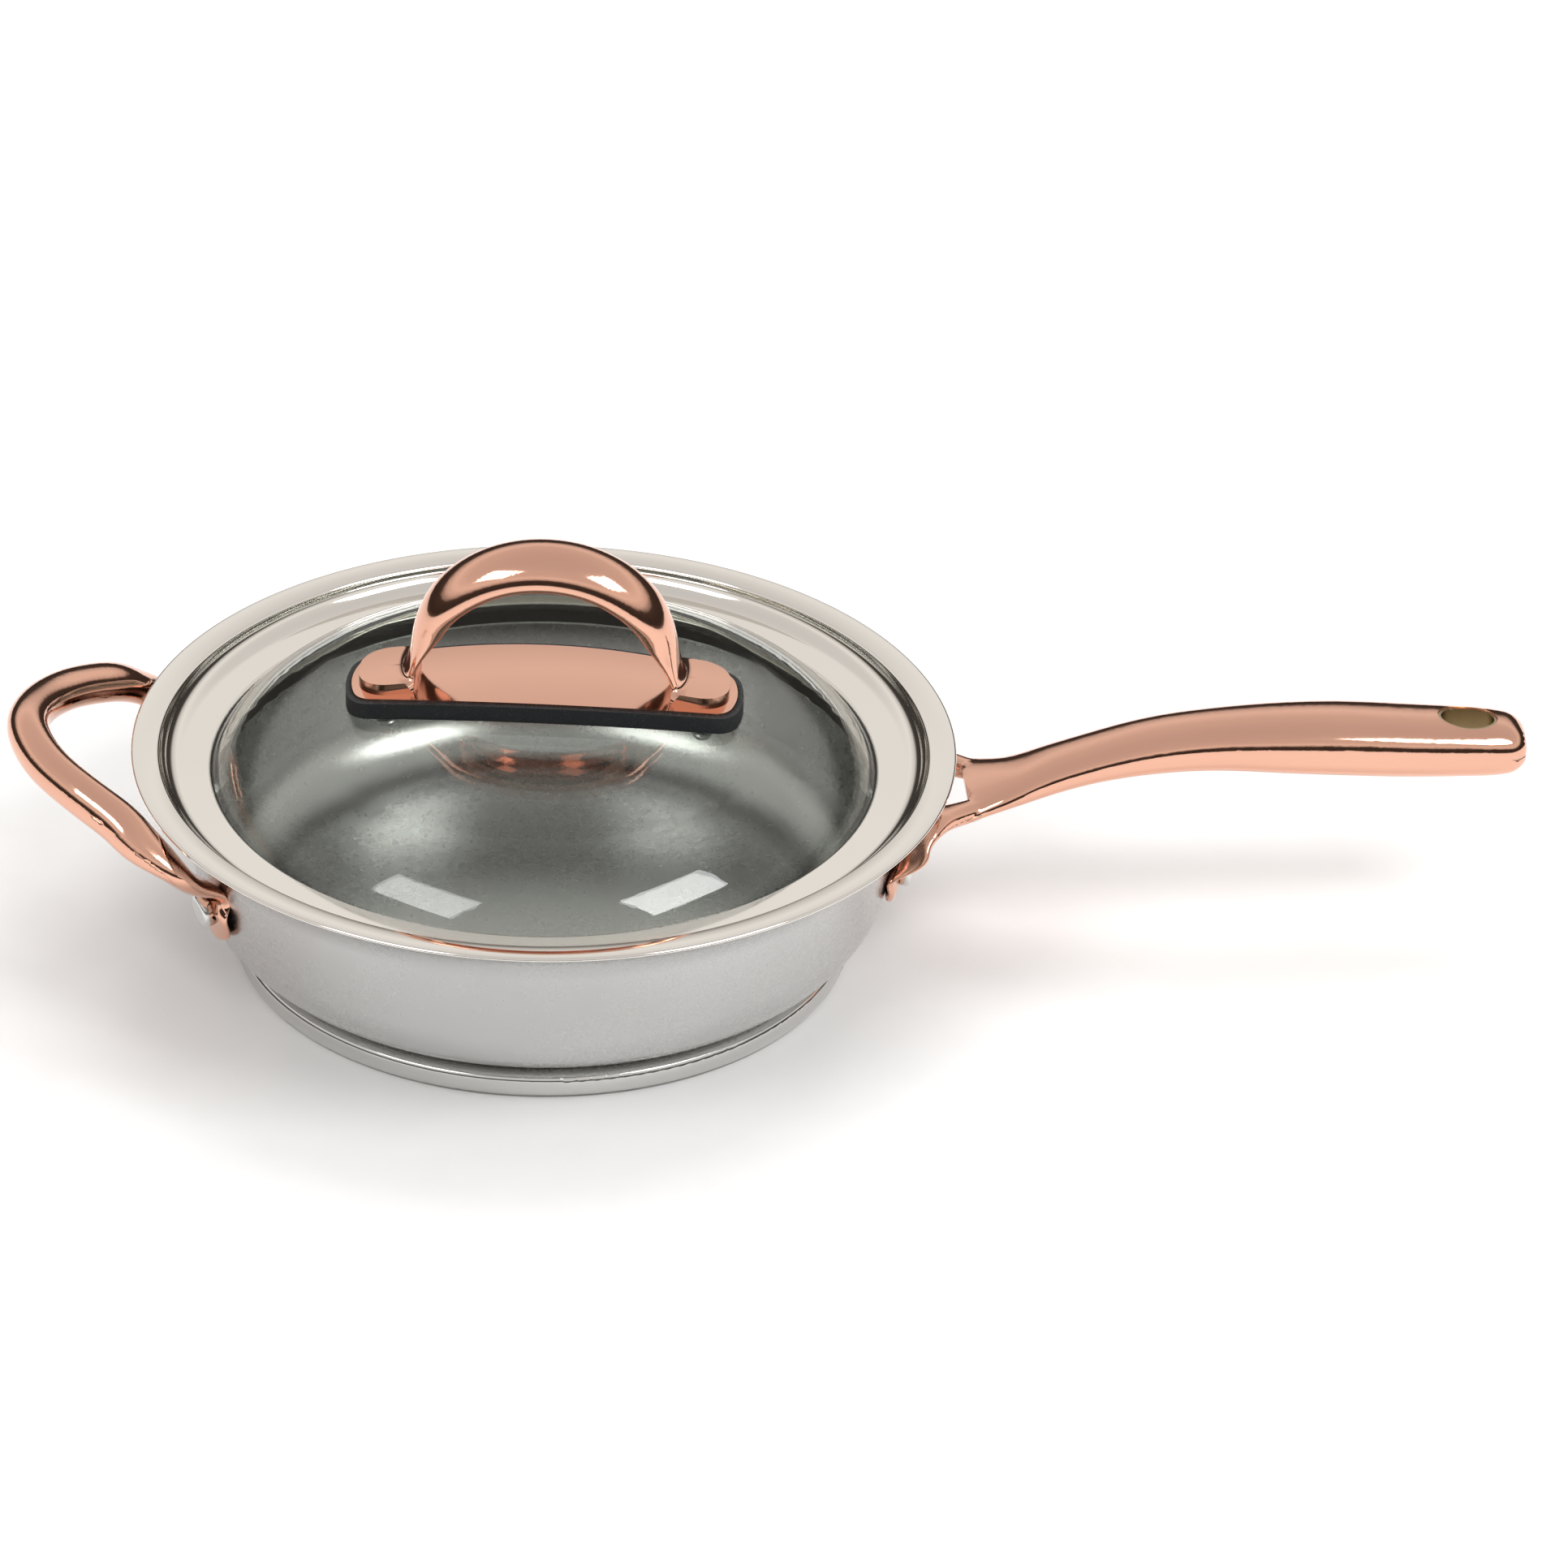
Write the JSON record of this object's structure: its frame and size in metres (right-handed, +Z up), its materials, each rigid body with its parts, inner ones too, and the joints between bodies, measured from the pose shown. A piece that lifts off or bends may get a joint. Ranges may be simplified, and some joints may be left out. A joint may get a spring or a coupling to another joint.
{
  "type": "saucepan with glass lid",
  "caption": "Shallow flared metal pan with an encapsulated base, a long forked handle, a loop-shaped helper handle and a lift-off rimmed glass lid with an arched grip.",
  "frame": {"origin": "on the pan's axis, in the plane of the surface the pan stands on", "axes": "+Z up; +X along the long handle, away from the bowl; the helper handle is on -X"},
  "size_m": [0.4717, 0.2553, 0.1399],
  "materials": {
    "satin_steel": "satin, fine turned grain",
    "base_steel": "satin",
    "core_aluminium": "plain",
    "rose_gold": "mirror-polished rose gold plating",
    "sleeve_brass": "dull",
    "rivet_aluminium": "satin",
    "polished_rim": "mirror-polished steel",
    "lid_glass": "clear, slightly smoky toughened glass",
    "seal_rubber": "matte",
    "hidden_steel": "plain",
    "pad_rubber": "matte, fine speckle",
    "hardware_steel": "bright"
  },
  "bodies": {
    "pan": {"pan_body": "satin_steel", "base_heat_disc": "core_aluminium", "base_capsule": "base_steel", "long_handle_upper_shell": "rose_gold", "long_handle_lower_shell": "rose_gold", "hang_hole_sleeve": "sleeve_brass", "long_handle_rivets": "rivet_aluminium", "helper_handle_inner_shell": "rose_gold", "helper_handle_outer_shell": "rose_gold", "helper_handle_rivets": "rivet_aluminium"},
    "lid": {"lid_rim": "polished_rim", "lid_glass": "lid_glass", "glass_seal": "seal_rubber", "glass_clamp_ring": "hidden_steel", "grip_pad": "pad_rubber", "grip_plate": "rose_gold", "grip_arch": "rose_gold", "grip_studs": "hardware_steel", "glass_grommets": "seal_rubber", "soft_washers": "seal_rubber", "steel_washers": "hardware_steel", "cap_nuts": "hardware_steel"}
  },
  "joints": [
    {"name": "lid_lift", "type": "slide", "parent": "pan", "child": "lid", "axis": [0, 0, 1], "range_m": [0, 0.12]}
  ]
}
